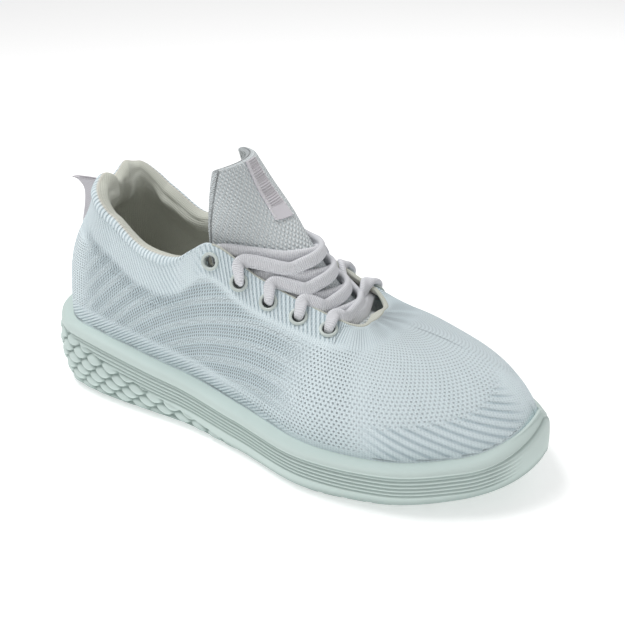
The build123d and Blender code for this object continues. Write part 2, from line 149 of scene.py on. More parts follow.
def wallProfile(s, side, v):
    # Distance out falls from foot to top as cos^lean, swells by belly sin^3 low down and draws in
    # by waist higher up. The height rises as sin^rise.
    far = planWay(s, side)[4]
    foot = far - last["seatWall"]
    top = bySide(side, "outerTop", "innerTop", s)
    low = smooth(last["floor"], s) + 0.15
    high = bySide(side, "outerHigh", "innerHigh", s)
    w = math.pi / 2 * v
    r = top + (foot - top) * np.maximum(np.cos(w), 0) ** smooth(last["lean"], s)
    r = r + smooth(last["belly"], s) * np.sin(math.pi * np.minimum(1.5 * v, 1)) ** 3
    r = r - smooth(last["waist"], s) * ramp(v, .42, .8)
    return r, low + (high - low) * np.sin(w) ** smooth(last["rise"], s)


def wallFrame(s, side, v):
    # Profile point with its unit outward normal (nr, nz), from a small step up and down the wall.
    r, z = wallProfile(s, side, v)
    r0, z0 = wallProfile(s, side, np.maximum(v - 0.01, 0))
    r1, z1 = wallProfile(s, side, np.minimum(v + 0.01, 1))
    size = np.hypot(r1 - r0, z1 - z0)
    return r, z, (z1 - z0) / size, -(r1 - r0) / size


def place(s, side, r, z):
    cx, cy, dx, dy, _ = planWay(s, side)
    return np.stack(np.broadcast_arrays(cx + dx * r, cy + dy * r, z), -1)


def wallPoint(s, side, v, depth=0.0, lift=0.0):
    # depth goes in from the outer face, and lift carries on up past the edge along the wall.
    s, side, v = np.asarray(s, float), np.asarray(side), np.asarray(v, float)
    r, z, nr, nz = wallFrame(s, side, v)
    return place(s, side, r - depth * nr - lift * nz, z - depth * nz + lift * nr)


def evenly(points, spacing):
    # Share of the length at even steps along a polyline of points, as numbers of its rows.
    run = np.concatenate(([0], np.cumsum(np.linalg.norm(np.diff(points, axis=0), axis=1))))
    count = max(3, int(round(run[-1] / spacing)) + 1)
    return np.interp(np.linspace(0, run[-1], count), run, np.arange(len(run))), run[-1]


def circuit(start, end, spacing, v=0.45):
    # Stations and sides evenly spaced round the wall: start and end are signed, outer side below 0.
    signed = np.linspace(start, end, 2400)
    points = wallPoint(np.abs(signed), np.where(signed < 0, -1, 1), v)
    rows, length = evenly(points, spacing)
    signed = np.interp(rows, np.arange(len(signed)), signed)
    return np.abs(signed), np.where(signed < 0, -1, 1), np.linspace(0, length, len(signed))


def stripFaces(columns, fold):
    # Quads across a ring, between facing columns l and r = fold - l.
    half = columns // 2 + 1 - fold % 2
    left = (fold // 2 - np.arange(half)) % columns
    right = (fold - left) % columns
    strip = np.stack((left[1:], left[:-1], right[:-1], right[1:]), -1).tolist()
    return [list(dict.fromkeys(face)) for face in strip]


def gridMesh(name, grids, closeU=False, closeV=False, uv=None, layers=None, capU=False, fold=None):
    # Quads over a grid points[v, u], or over several of one size. closeU joins each row's ends, and
    # closeV the first row to the last. capU fills the first and last columns. fold fills the first
    # and last rows, and is the sum of two facing columns. Outward faces have sum a . (b x c) > 0.
    grids = grids if grids.ndim == 4 else grids[None]
    count, rows, columns = grids.shape[:3]
    r, c = np.meshgrid(np.arange(rows - 1 + closeV), np.arange(columns - 1 + closeU), indexing="ij")
    corners = [(r, c), (r, c + 1), (r + 1, c + 1), (r + 1, c)]
    quads = np.stack([a % rows * columns + b % columns for a, b in corners], -1).reshape(-1, 4)
    centred = grids[0].reshape(-1, 3) - grids[0].reshape(-1, 3).mean(0)
    p = centred[quads]
    volume = np.sum(p[:, 0] * (np.cross(p[:, 1], p[:, 2]) + np.cross(p[:, 2], p[:, 3])))
    caps = []
    if capU:
        caps = [list(range(0, rows * columns, columns)),
                list(range(rows * columns - 1, 0, -columns))]
    if fold is not None:
        strip = stripFaces(columns, fold)
        caps = [face[::-1] for face in strip]
        caps += [[(rows - 1) * columns + i for i in face] for face in strip]
    if volume < 0:
        quads, corners, caps = quads[:, ::-1], corners[::-1], [face[::-1] for face in caps]
    faces = np.concatenate([quads + i * rows * columns for i in range(count)]).tolist() + caps
    mesh = bpy.data.meshes.new(name)
    mesh.from_pydata((grids.reshape(-1, 3) * millimetre).tolist(), [], faces)
    for layerName, values in (uv or {}).items():
        high, wide = values.shape[:2]
        main = np.stack([values[a % high, b % wide] for a, b in corners], -2).reshape(-1, 2)
        ends = np.array([i for face in caps for i in face], int)
        full = np.concatenate((np.tile(main, (count, 1)), values[ends // columns, ends % columns]))
        layer = mesh.uv_layers.new(name=layerName)
        layer.data.foreach_set("uv", full.astype(np.float32).ravel())
    for layerName, values in (layers or {}).items():
        attribute = mesh.attributes.new(layerName, "FLOAT", "POINT")
        spread = np.broadcast_to(values, (rows, columns))
        attribute.data.foreach_set("value", spread.astype(np.float32).ravel())
    mesh.polygons.foreach_set("use_smooth", np.ones(len(mesh.polygons), bool))
    mesh.update()
    piece = bpy.data.objects.new(name, mesh)
    bpy.context.scene.collection.objects.link(piece)
    return piece


class Value:
    # A number or colour worked out by nodes. The signs + - * / ** between values, or between a
    # value and a number, add Math nodes.
    def __init__(self, tree, socket):
        self.tree, self.socket = tree, socket

    def __add__(self, other):
        return maths("ADD", self, other)

    def __sub__(self, other):
        return maths("SUBTRACT", self, other)

    def __rsub__(self, other):
        return maths("SUBTRACT", other, self)

    def __mul__(self, other):
        return maths("MULTIPLY", self, other)

    def __truediv__(self, other):
        return maths("DIVIDE", self, other)

    def __pow__(self, other):
        return maths("POWER", self, other)


def setInputs(tree, node, inputs):
    # Values are linked, and numbers and colours are written on the sockets.
    for name, value in inputs.items():
        if isinstance(value, Value):
            tree.links.new(value.socket, node.inputs[name])
        else:
            node.inputs[name].default_value = (*value, 1) if isinstance(value, tuple) else value


def makeNode(tree, kind, inputs, output=0, **settings):
    node = tree.nodes.new(kind)
    for setting, choice in settings.items():
        setattr(node, setting, choice)
    setInputs(tree, node, inputs)
    return Value(tree, node.outputs[output])


def maths(kind, *values):
    tree = next(value.tree for value in values if isinstance(value, Value))
    return makeNode(tree, "ShaderNodeMath", dict(enumerate(values)), operation=kind)


def readUv(tree, name):
    both = makeNode(tree, "ShaderNodeUVMap", {}, "UV", uv_map=name)
    first = makeNode(tree, "ShaderNodeSeparateXYZ", {0: both})
    return first, Value(tree, first.socket.node.outputs[1])


def readLayer(tree, name):
    return makeNode(tree, "ShaderNodeAttribute", {}, "Fac", attribute_name=name)


def noise(tree, scale, detail):
    place = makeNode(tree, "ShaderNodeTexCoord", {}, "Object")
    inputs = {"Scale": scale, "Detail": detail, "Roughness": 0.5, "Vector": place}
    return makeNode(tree, "ShaderNodeTexNoise", inputs, "Fac")


def waves(x, pitch, phase=0.0):
    # 0.5 + 0.5 sin(2 pi x / pitch + phase)
    return maths("SINE", x * (2 * math.pi / pitch) + phase) * 0.5 + 0.5


def stepNode(value, low, high):
    # Smooth step from low (0) to high (1); low may be above high.
    inputs = {"Value": value, "From Min": low, "From Max": high}
    return makeNode(value.tree, "ShaderNodeMapRange", inputs, interpolation_type="SMOOTHSTEP")


def holes(x, y, pitchX, pitchY, radius):
    # 1 inside round holes on a lattice, every other row moved half a step.
    shift = maths("MODULO", maths("FLOOR", y / pitchY), 2.0) * 0.5
    u = (maths("FRACT", x / pitchX + shift) - 0.5) * pitchX
    w = (maths("FRACT", y / pitchY) - 0.5) * pitchY
    return stepNode(maths("SQRT", u * u + w * w), radius * 1.25, radius * 0.55)


def mix(factor, a, b):
    return makeNode(factor.tree, "ShaderNodeMix", {0: factor, 6: a, 7: b}, 2, data_type="RGBA")


def tint(colour, amount, share, towards):
    # Moves a colour towards another by amount times share.
    return mix(amount * share, colour, towards)


def newMaterial(name):
    material = bpy.data.materials.new(name)
    material.use_nodes = True
    return material, material.node_tree


def finish(material, colour, height, relief, roughness, sheen=0.0, specular=0.5, metallic=0.0):
    # relief is the depth in millimetres between height 0 and 1, and the share of it that shows.
    depth, strength = relief
    inputs = {"Strength": strength, "Distance": depth * millimetre, "Height": height}
    tree = material.node_tree
    normal = makeNode(tree, "ShaderNodeBump", inputs)
    setInputs(tree, tree.nodes["Principled BSDF"], {
        "Base Color": colour, "Normal": normal, "Roughness": roughness, "Sheen Weight": sheen,
        "Specular IOR Level": specular, "Metallic": metallic})
    return material


# Each fabric's face colour, then a darker colour that paints the shade in its grooves and between
# its threads; the random mottling also moves towards it.
fabricTone = {
    "knit": ((0.83, 0.93, 0.965), (0.24, 0.36, 0.42)),      # face of the yarn, and the painted shade in its gaps and grooves
    "lining": ((0.66, 0.675, 0.60), (0.46, 0.47, 0.41)),
    "lace": ((0.88, 0.885, 0.91), (0.64, 0.65, 0.70)),
    "ribbon": ((0.70, 0.68, 0.72), (0.38, 0.355, 0.37)),
    "tongue": ((0.90, 0.93, 0.935), (0.50, 0.56, 0.58)),
}
plainTone = {
    # painted shade inside the knit's holes
    "hole": (0.16, 0.20, 0.22),
    "piping": (0.76, 0.74, 0.66),
    "thread": (0.80, 0.79, 0.80),
    # painted shade for the sole's grooves and recesses, and its painted contact shadow
    "crevice": (0.17, 0.24, 0.22),
}


def knitMaterial():
    # Flat knit: chevrons, as waves of y + waves of x, pin rows, heel dots, a toe grid and ribs.
    material, tree = newMaterial("knitFabric")
    x, y = readUv(tree, "cloth")
    rowX, rowY = readUv(tree, "rows")
    ribX, _ = readUv(tree, "ribs")
    stitch = waves(y + waves(x, 2.4) * 0.9, 1.25) * waves(x, 1.2)
    pins = readLayer(tree, "pins")
    pin = holes(rowX + rowY * 0.35, rowY, 1.75, 1.7, 0.55) * pins
    grid = holes(x, y, 2.1, 1.9, 0.5) * readLayer(tree, "grid")
    dots = holes(x + y * 0.6, y, 1.75, 1.5, 0.46) * readLayer(tree, "dots")
    gap = maths("MAXIMUM", maths("MAXIMUM", pin, grid), dots)
    rib = waves(ribX, 1.0) ** 2.5 * readLayer(tree, "ribbed")
    furrowShade = waves(rowY, 1.7, math.pi / 2) * pins
    tone, shade = fabricTone["knit"]
    cloudy = noise(tree, 35.0, 3.0)
    # Random mottling, then painted shade in the dips of the stitches, in the furrows between pin
    # rows and in the ribs' grooves.
    for amount, share in ((cloudy, 0.07), (stitch, 0.18), (furrowShade, 0.40), (rib, 0.62)):
        tone = tint(tone, amount, share, shade)
    # Painted shade inside the pin holes, heel dots and toe grid.
    tone = tint(tone, gap, 0.72, plainTone["hole"])
    return finish(material, tone, stitch * -0.5 - gap - rib * 1.1, (0.5, 1.0), 0.82, 0.12, 0.25)


def collarMaterial():
    # Lining that turns to ribbed knit on the wrap layer, with pale cord on the piping layer.
    material, tree = newMaterial("collarFabric")
    x, y = readUv(tree, "cloth")
    weave = waves(x, 1.0) * waves(y, 1.2)
    face, shade = fabricTone["lining"]
    # Painted shade between the weave's threads, then random mottling.
    lining = tint(tint(face, weave, 0.5, shade), noise(tree, 60.0, 3.0), 0.2, shade)
    rib = waves(x, 2.2) ** 2.0
    face, shade = fabricTone["knit"]
    wrap, piping = readLayer(tree, "wrap"), readLayer(tree, "piping")
    # Painted shade in the grooves between the wrap's ribs.
    colour = mix(wrap, lining, tint(face, rib, 0.5, shade))
    colour = mix(piping, colour, plainTone["piping"])
    height = weave * -0.4 - rib * wrap + piping * 1.2
    return finish(material, colour, height, (0.5, 0.9), 0.85, 0.15, 0.2)


def liningMaterial():
    # Woven cloth: two crossed waves with painted shade in their dips, and a soft mottling.
    material, tree = newMaterial("liningFabric")
    x, y = readUv(tree, "cloth")
    weave = waves(x, 1.0) * waves(y, 1.2)
    face, shade = fabricTone["lining"]
    colour = tint(tint(face, weave, 0.5, shade), noise(tree, 60.0, 3.0), 0.15, shade)
    return finish(material, colour, weave * -1.0, (0.25, 0.8), 0.85, 0.2, 0.2)


def tongueMaterial():
    # Spacer mesh: raised lozenges, the product of two waves that slant opposite ways.
    material, tree = newMaterial("tongueMesh")
    x, y = readUv(tree, "cloth")
    lozenge = waves(x + y * 0.75, 2.5) ** 0.8 * waves(x - y * 0.75, 2.5) ** 0.8
    face, shade = fabricTone["tongue"]
    # Painted shade in the hollows between the raised lozenges.
    colour = tint(face, (1.0 - lozenge) ** 1.8, 0.75, shade)
    colour = tint(colour, noise(tree, 50.0, 3.0), 0.12, shade)
    return finish(material, colour, lozenge, (0.8, 1.0), 0.85, 0.15, 0.2)


def ribbonMaterial(name, tone, pitch, stitched):
    # Webbing: ribs along the first map direction; stitched webbing has ribs and thread by layer.
    material, tree = newMaterial(name)
    x, y = readUv(tree, "cloth")
    rib, fine = waves(x, pitch), waves(y, 0.55)
    if stitched:
        rib = rib * readLayer(tree, "ribbed")
    face, shade = fabricTone[tone]
    # Painted shade in the grooves of the ribs and fine ribs.
    colour = tint(tint(face, rib, 0.6, shade), fine, 0.12, shade)
    height = rib * -1.0 + fine * -0.25
    if stitched:
        stitch = readLayer(tree, "stitch") * stepNode(waves(x, 2.6), 0.2, 0.45)
        colour, height = mix(stitch, colour, plainTone["thread"]), height + stitch
    return finish(material, colour, height, (0.3, 0.9), 0.75, 0.2, 0.25)


def mouldedMaterial(name, face, shade, roughness, grain=900.0, creviceShaded=False):
    # Moulded foam or rubber: fine grain, a slow change of tone, and painted shade in creases and
    # recesses by layer.
    material, tree = newMaterial(name)
    colour = tint(face, noise(tree, 22.0, 3.0), 0.35, shade)
    if creviceShaded:
        # Painted shade from the layer, in the grooves and recesses and near the bottom.
        colour = mix(readLayer(tree, "crevice"), colour, plainTone["crevice"])
    fine = noise(tree, grain, 3.0)
    return finish(material, colour, fine, (0.08, 0.6), fine * 0.12 + roughness, 0.0, 0.35)


def plainMaterial(name, face, shade, roughness, metallic=0.0):
    material, tree = newMaterial(name)
    colour = mix(noise(tree, 120.0, 4.0), face, shade)
    height = noise(tree, 1500.0, 2.0)
    return finish(material, colour, height, (0.05, 0.5), roughness, metallic=metallic)


knitFabric = knitMaterial()
liningFabric = liningMaterial()
collarFabric = collarMaterial()
tongueFabric = tongueMaterial()
laceFabric = ribbonMaterial("laceFabric", "lace", 0.9, False)
tapeFabric = ribbonMaterial("tapeFabric", "ribbon", 1.25, True)
loopFabric = ribbonMaterial("loopFabric", "ribbon", 1.2, True)
soleFoam = mouldedMaterial("soleFoam", (0.60, 0.70, 0.67), (0.54, 0.64, 0.61), 0.5, creviceShaded=True)
soleRubber = mouldedMaterial("soleRubber", (0.38, 0.45, 0.425), (0.32, 0.385, 0.36), 0.6)
eyeletPaint = plainMaterial("eyeletPaint", (0.62, 0.68, 0.65), (0.54, 0.60, 0.57), 0.32)
washerSteel = plainMaterial("washerSteel", (0.55, 0.55, 0.56), (0.45, 0.45, 0.46), 0.35, 1.0)
innerFoam = mouldedMaterial("innerFoam", (0.74, 0.72, 0.67), (0.66, 0.64, 0.59), 0.8, 500.0)
print("materials made")


def dress(piece, material, body, slotName, *nodes):
    # Gives a piece its material and its body, and hides the nodes that it stands for; slotName is
    # not used.
    piece.data.materials.append(material)
    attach(piece, body)
    if nodes:
        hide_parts(*nodes)
    return piece


eyelet = {
    "count": 5,
    "stations": (0.447, 0.588),
    "edge": 8.0,                # throat edge to the centre
    "hole": 3.0,
    "rim": 4.6,
    "stand": 1.0,
    "barrel": 3.6,
    "cut": 3.3,                 # hole in the cloth, hidden under the ring
}


def eyeletStation(i):
    first, final = eyelet["stations"]
    return first + (final - first) * i / (eyelet["count"] - 1)


def eyeletPlane(i, side):
    # Centre, direction along the row, direction to the edge, and normal, on the wall's face.
    s = eyeletStation(i)
    v = 1 - eyelet["edge"] / 50
    for _ in range(12):
        far = np.linalg.norm(wallPoint(s, side, v) - wallPoint(s, side, 1.0))
        v = min(0.97, max(0.6, v + (far - eyelet["edge"]) / 90))
    at = wallPoint(s, side, v)
    along = wallPoint(s + .01, side, v) - wallPoint(s - .01, side, v)
    up = wallPoint(s, side, v + .01) - wallPoint(s, side, v - .01)
    along = along / np.linalg.norm(along)
    normal = np.cross(along, up)
    normal = normal / np.linalg.norm(normal) * (1 if normal[2] > 0 else -1)
    toEdge = np.cross(normal, along)
    toEdge = toEdge * (1 if toEdge @ up > 0 else -1)
    return at, along, toEdge, normal


def cutHoles(piece):
    # Leaves out the cloth's faces that lie inside an eyelet's ring.
    centres, axes = [], []
    for i in range(eyelet["count"]):
        for side in (-1, 1):
            at, _, _, normal = eyeletPlane(i, side)
            centres.append(at)
            axes.append(normal)
    middles = np.zeros(len(piece.data.polygons) * 3)
    piece.data.polygons.foreach_get("center", middles)
    gap = middles.reshape(-1, 1, 3) / millimetre - np.array(centres)[None]
    rise = np.sum(gap * np.array(axes)[None], -1)
    out = np.sqrt(np.maximum(np.sum(gap * gap, -1) - rise ** 2, 0))
    inside = np.any((out < eyelet["cut"]) & (np.abs(rise) < 5), axis=1)
    work = bmesh.new()
    work.from_mesh(piece.data)
    work.faces.ensure_lookup_table()
    bmesh.ops.delete(work, geom=[work.faces[i] for i in np.flatnonzero(inside)], context="FACES")
    work.to_mesh(piece.data)
    work.free()


knit = {
    "thickness": 2.2,
    "columnStep": 1.0,
    "rows": 92,
    "combPitch": 3.1,           # short ribs that stand over the sole's rim
    "combLength": 13.0,
    "combLean": 1.7,
    "toePitch": 6.6,            # broad ribs at the toe's foot
    "toeLean": 1.5,
    "toeDepth": 0.45,
    "collarSwell": 0.35,
    "slack": 0.28,
    "weltDrop": 25.0,           # top edge down to the line under the collar's ribs
    "weltDepth": 0.6,
    "bandStep": 10.5,           # between the seams that sweep across the side
    "seamDepth": 0.3,
    "edgePitch": 2.3,           # ribs beside the eyelets
    "puff": 0.2,
}


def wallRun(points):
    # Length up the wall to each row of a grid.
    step = np.linalg.norm(np.diff(points, axis=0), axis=2)
    return np.concatenate((np.zeros((1, points.shape[1])), np.cumsum(step, 0)))


def knitUpper():
    # The whole wall as one closed grid: up the outer face, over the edge and down the inner face.
    s, side, along = (row[None] for row in circuit(-1, 1, knit["columnStep"]))
    v = np.linspace(0, 1, knit["rows"])[:, None]
    face = wallPoint(s, side, v)
    up = wallRun(face)
    x, z = face[..., 0], face[..., 2]
    edge = up[-1:] - up                                 # distance down from the top edge
    rim = z - smooth(last["rim"], s)           # height over the sole's rim
    # bands sweep up and forward from the low heel: band number = share of height - advance along
    across = up - 1.05 * (x + 100) + 0.0042 * (x + 100) ** 2
    band = across / knit["bandStep"]
    inBands = ramp(s, .19, .26) * ramp(s, .6, .53) * ramp(rim, 8, 13) * ramp(edge, 15, 20)
    seam = np.exp(-((band - np.round(band)) * knit["bandStep"] / 1.5) ** 2)
    relief = inBands * (knit["puff"] * (1 - seam) - knit["seamDepth"] * seam)
    # short ribs over the rim, longest at the heel, that lean forward as they rise
    combRun = along - side * knit["combLean"] * up
    combLength = knit["combLength"] * (1 - 0.35 * ramp(s, .3, .5))
    inComb = ramp(rim, 0.4, 1.6) * ramp(rim, combLength, combLength * 0.45) * ramp(s, .62, .5)
    # fine ribs square to the edge, beside the eyelets and under the collar, down to a welt
    beside = ramp(edge, 16, 13) * ramp(s, .425, .445) * ramp(s, .66, .6)
    edgeRun = along + 0.5 * edge
    under = ramp(edge, knit["weltDrop"], knit["weltDrop"] - 3) * ramp(s, .425, .40)
    welt = np.exp(-((edge - knit["weltDrop"]) / 1.1) ** 2) * ramp(s, .44, .40)
    relief = relief - knit["weltDepth"] * welt + knit["collarSwell"] * under * ramp(edge, 2, 8)
    # ribs that spread from the throat, and broad slanting ribs at the toe's foot
    front = ramp(s, .6, .68)
    spread = front * ramp(edge, 24, 14) * ramp(edge, 2, 5)
    toeRun = along + side * knit["toeLean"] * up
    inToe = ramp(s, .66, .72) * ramp(s, .98, .92) * ramp(rim, 19, 15) * ramp(rim, 0.4, 1.6)
    toeWave = (0.5 + 0.5 * np.cos(2 * math.pi * (toeRun / knit["toePitch"] + 0.25))) ** 2
    relief = relief - knit["toeDepth"] * toeWave * inToe
    # slow unevenness of a soft cloth
    slow = knit["slack"] * np.sin(along / 17) * np.sin(up / 11 + along / 41)
    relief = (relief + slow * ramp(edge, 2, 8)) * ramp(edge, 0.5, 3)
    outer = wallPoint(s, side, v, -relief)
    theta = np.linspace(0, math.pi, 7)[1:-1, None]
    half = knit["thickness"] / 2
    top = wallPoint(s, side, np.ones((5, 1)), half - half * np.cos(theta),
                    half * np.sin(theta))
    inner = wallPoint(s, side, np.linspace(1, 0, 24)[:, None], knit["thickness"])
    points = np.concatenate((outer, top, inner))
    extra = len(points) - knit["rows"]

    def tall(values, fill=None):
        # A layer on the outer face, carried over to the hidden rows.
        final = values[-1:] if fill is None else np.full((1, values.shape[1]), fill)
        return np.concatenate((values, np.repeat(final, extra, 0)))

    alongFull = np.broadcast_to(along, up.shape)
    onSeam = band - np.round(band)
    pins = inBands * (0.4 + 0.6 * ramp(np.abs(onSeam) * knit["bandStep"], 4.6, 3.2))
    forward = 0.55 * ramp(s, .6, .68) * ramp(edge, 16, 24) * ramp(rim, 13, 19)
    middle = ramp(s, .45, .55) * ramp(s, .70, .64) * ramp(rim, 2, 4) * ramp(edge, 16, 20)
    grid = np.maximum(forward, 0.9 * middle * (1 - inBands))
    belowWelt = ramp(edge, knit["weltDrop"], knit["weltDrop"] + 3)
    dots = 0.85 * ramp(s, .26, .2) * ramp(rim, 8, 12) * belowWelt
    ribbed = np.max((inComb, 0.85 * beside, 0.6 * under, 0.5 * spread, 0.8 * inToe), 0)
    cosRun = np.select([inComb > 0.02, inToe > 0.02, spread > 0.02],
                       [combRun / knit["combPitch"], toeRun / knit["toePitch"], alongFull / 2.3],
                       edgeRun / knit["edgePitch"])
    uv = {
        "cloth": np.stack((tall(alongFull), tall(up)), -1),
        "rows": np.stack((tall(alongFull * 1.15), tall(onSeam * knit["bandStep"])), -1),
        "ribs": np.stack((tall(cosRun + 0.25), tall(up)), -1),
    }
    layers = {"pins": tall(pins, 0), "grid": tall(grid, 0), "dots": tall(dots, 0),
              "ribbed": tall(ribbed, 0)}
    piece = gridMesh("knitUpper", points, closeU=False, closeV=True, uv=uv, layers=layers)
    cutHoles(piece)
    return dress(piece, knitFabric, "shoe_body", "knit_fabric", "knit_upper")


knitUpper()
print("knit upper made")

sole = {
    "bottomGap": 2.75,          # outsole under it
    "lip": 1.9,                 # how far the foam's edge wraps down round the outsole
    "toeDraw": 2.6,
    "columnStep": 0.8,
    "sideRows": 78,
    "rimBead": 4.8,             # height of the smooth band along the rim
    "rimStand": 0.8,
    "padLength": 11.5,
    "padStep": 5.4,             # from one row of pads to the next
    "padStand": 2.6,
    "padReach": 0.22,           # station that the top row reaches
    "padReachStep": 0.085,      # and how much further each row goes
    "lineStep": 2.2,            # between the fine grooves of the forefoot
    "lineDepth": 0.8,
    "lines": 5,
    # share of the painted shade colour at the darkest points
    "creviceShadeShare": 0.62,
    "insets": [(-2, 5.0), (16, 0.0), (46, 4.0)],
}


def midsole():
    # Closed shell: out from the bottom's middle, up the side, over the rim and in to the middle
    # again. Each side point stands in from the widest line by a parabola of the height.
    signed = np.linspace(-1, 1, 2400)
    x, y = outline(np.abs(signed), np.where(signed < 0, -1, 1))
    rows, length = evenly(np.stack((x, y), -1), sole["columnStep"])
    signed = np.interp(rows, np.arange(2400), signed)[:-1]
    s, side = np.abs(signed), np.where(signed < 0, -1, 1)
    along = np.linspace(0, length, len(signed) + 1)[:-1]
    far = planWay(s, side)[4]
    low = smooth(last["ground"], s) + sole["bottomGap"] - sole["lip"]
    high = smooth(last["rim"], s)
    t = np.linspace(0, 1, sole["sideRows"])[:, None]
    z = low + (high - low) * t
    (z0, a), (z1, b), (z2, c) = sole["insets"]
    inset = (a * (z - z1) * (z - z2) / ((z0 - z1) * (z0 - z2))
             + b * (z - z0) * (z - z2) / ((z1 - z0) * (z1 - z2))
             + c * (z - z0) * (z - z1) / ((z2 - z0) * (z2 - z1)))
    down, rise = high - z, z - low
    relief, crevice = sideRelief(s, along[None, :], down, rise)
    # rounded lower and upper edges, and a toe drawn in under the rim
    inset = inset + 2.6 * (1 - np.sqrt(1 - np.clip(1 - rise / 2.6, 0, 1) ** 2))
    edgeRound = 2.0 + 4.5 * ramp(s, .76, .92)
    inset = inset + edgeRound * (1 - np.sqrt(1 - np.clip(1 - down / edgeRound, 0, 1) ** 2))
    inset = np.minimum(inset + sole["toeDraw"] * ramp(s, .8, .97), 7.0)
    wall = place(s, side, far - inset + relief, z)
    base = low + sole["lip"]
    share = np.linspace(0, 1, 12)[:-1, None]
    bottom = place(s, side, (far - 9.2) * share, base + 0 * share)
    ledge = place(s, side, np.stack((far - 8.8, far - 8.4)), np.stack((base, low)))
    bottom = np.concatenate((bottom, ledge))
    inward = np.linspace(7.1, last["seatWall"] + 0.8, 4)[:, None]
    top = place(s, side, far - inward, high + 0 * inward)
    floor = smooth(last["floor"], s)
    wallIn = place(s, side, far - last["seatWall"] - 0.8 + np.zeros((3, 1)),
                   high + (floor - high) * np.array([.33, .66, 1])[:, None])
    inside = place(s, side, (far - last["seatWall"] - 0.8) * np.linspace(1, 0, 8)[1:, None],
                   floor + np.zeros((7, 1)))
    points = np.concatenate((bottom, wall, top, wallIn, inside))
    # The side wall passes its painted shade to the foam's material as a layer.
    shade = np.zeros(points.shape[:2])
    shade[len(bottom):len(bottom) + len(wall)] = crevice
    piece = gridMesh("midsoleFoam", points, closeU=True, layers={"crevice": shade})
    return dress(piece, soleFoam, "shoe_body", "midsole_foam", "midsole")


def lensPad(u, w):
    # A pad's height: across, a lens 1 - (2u)^2; down, it swells to its lower edge and drops off.
    lens = np.clip(1 - (2 * u) ** 2, 0, 1)
    t = np.clip(0.5 + w / np.maximum(1.25 * lens, 1e-3), 0, 1)
    return np.sqrt(lens) * t ** 0.55 * np.clip(1 - t, 0, 1) ** 0.22 * 1.35


def sideRelief(s, along, down, rise):
    # Height of the relief on the side, and the painted shade at each point: in the grooves, under
    # the bead, between the pads and near the bottom.
    soft = 1 - 0.6 * ramp(s, .8, .95)
    beadTall = sole["rimBead"] * (1 - 0.35 * ramp(s, .4, .6))
    bead = np.clip(down / beadTall, 0, 1)
    beadRound = np.sqrt(np.clip(1 - (2 * bead - 1) ** 2, 0, 1))
    relief = soft * sole["rimStand"] * beadRound * (down < beadTall)
    under = np.exp(-((down - beadTall - 0.5) / 0.6) ** 2)
    relief = relief - 0.6 * under
    # pads: rows counted down from the rim, every other one moved half a pad along
    row = (down - beadTall - 3.4) / sole["padStep"]
    number = np.round(row)
    pad = 0 * row
    for offset in (-1, 0, 1):
        near = number + offset
        u = along / sole["padLength"] + 0.5 * np.mod(near, 2)
        pad = np.maximum(pad, lensPad(u - np.round(u), row - near))
    reach = sole["padReach"] + sole["padReachStep"] * np.clip(row, -1, 6)
    inPads = ramp(s, reach + .02, reach) * ramp(row, -.75, -.45) * ramp(rise, 0.8, 2.6)
    relief = relief + sole["padStand"] * (pad - 0.5) * inPads
    # fine grooves that follow the rim
    line = (down - beadTall - 2.2) / sole["lineStep"]
    near = line - np.round(line)
    inLines = ramp(s, reach - .01, reach + .02) * ramp(s, .92, .84)
    inLines = inLines * (line > -.5) * (line < sole["lines"] - .5)
    inLines = inLines * ramp(rise, 3.0, 5.0)
    groove = np.exp(-(near * sole["lineStep"] / 0.5) ** 2) * inLines
    relief = relief - sole["lineDepth"] * groove
    # Painted shade in the grooves, under the rim's bead and in the low ground between the pads, and
    # a painted contact shadow near the bottom edge.
    crevice = 0.8 * groove + inPads * ramp(pad, .6, .15) + 0.6 * under + 0.9 * ramp(rise, 6, 1)
    return relief, np.clip(crevice, 0, 1) * sole["creviceShadeShare"]


midsole()
print("midsole made")

collar = {
    "reach": 0.427,
    "thickness": 8.6,
    "crown": 3.2,
    "stand": 0.5,               # how far the roll stands out over the knit
    "earAt": 0.12,              # raised pad each side of the heel
    "earRise": 3.6,
    "earThick": 2.6,
    "lump": 2.8,
    "columnStep": 1.3,
}


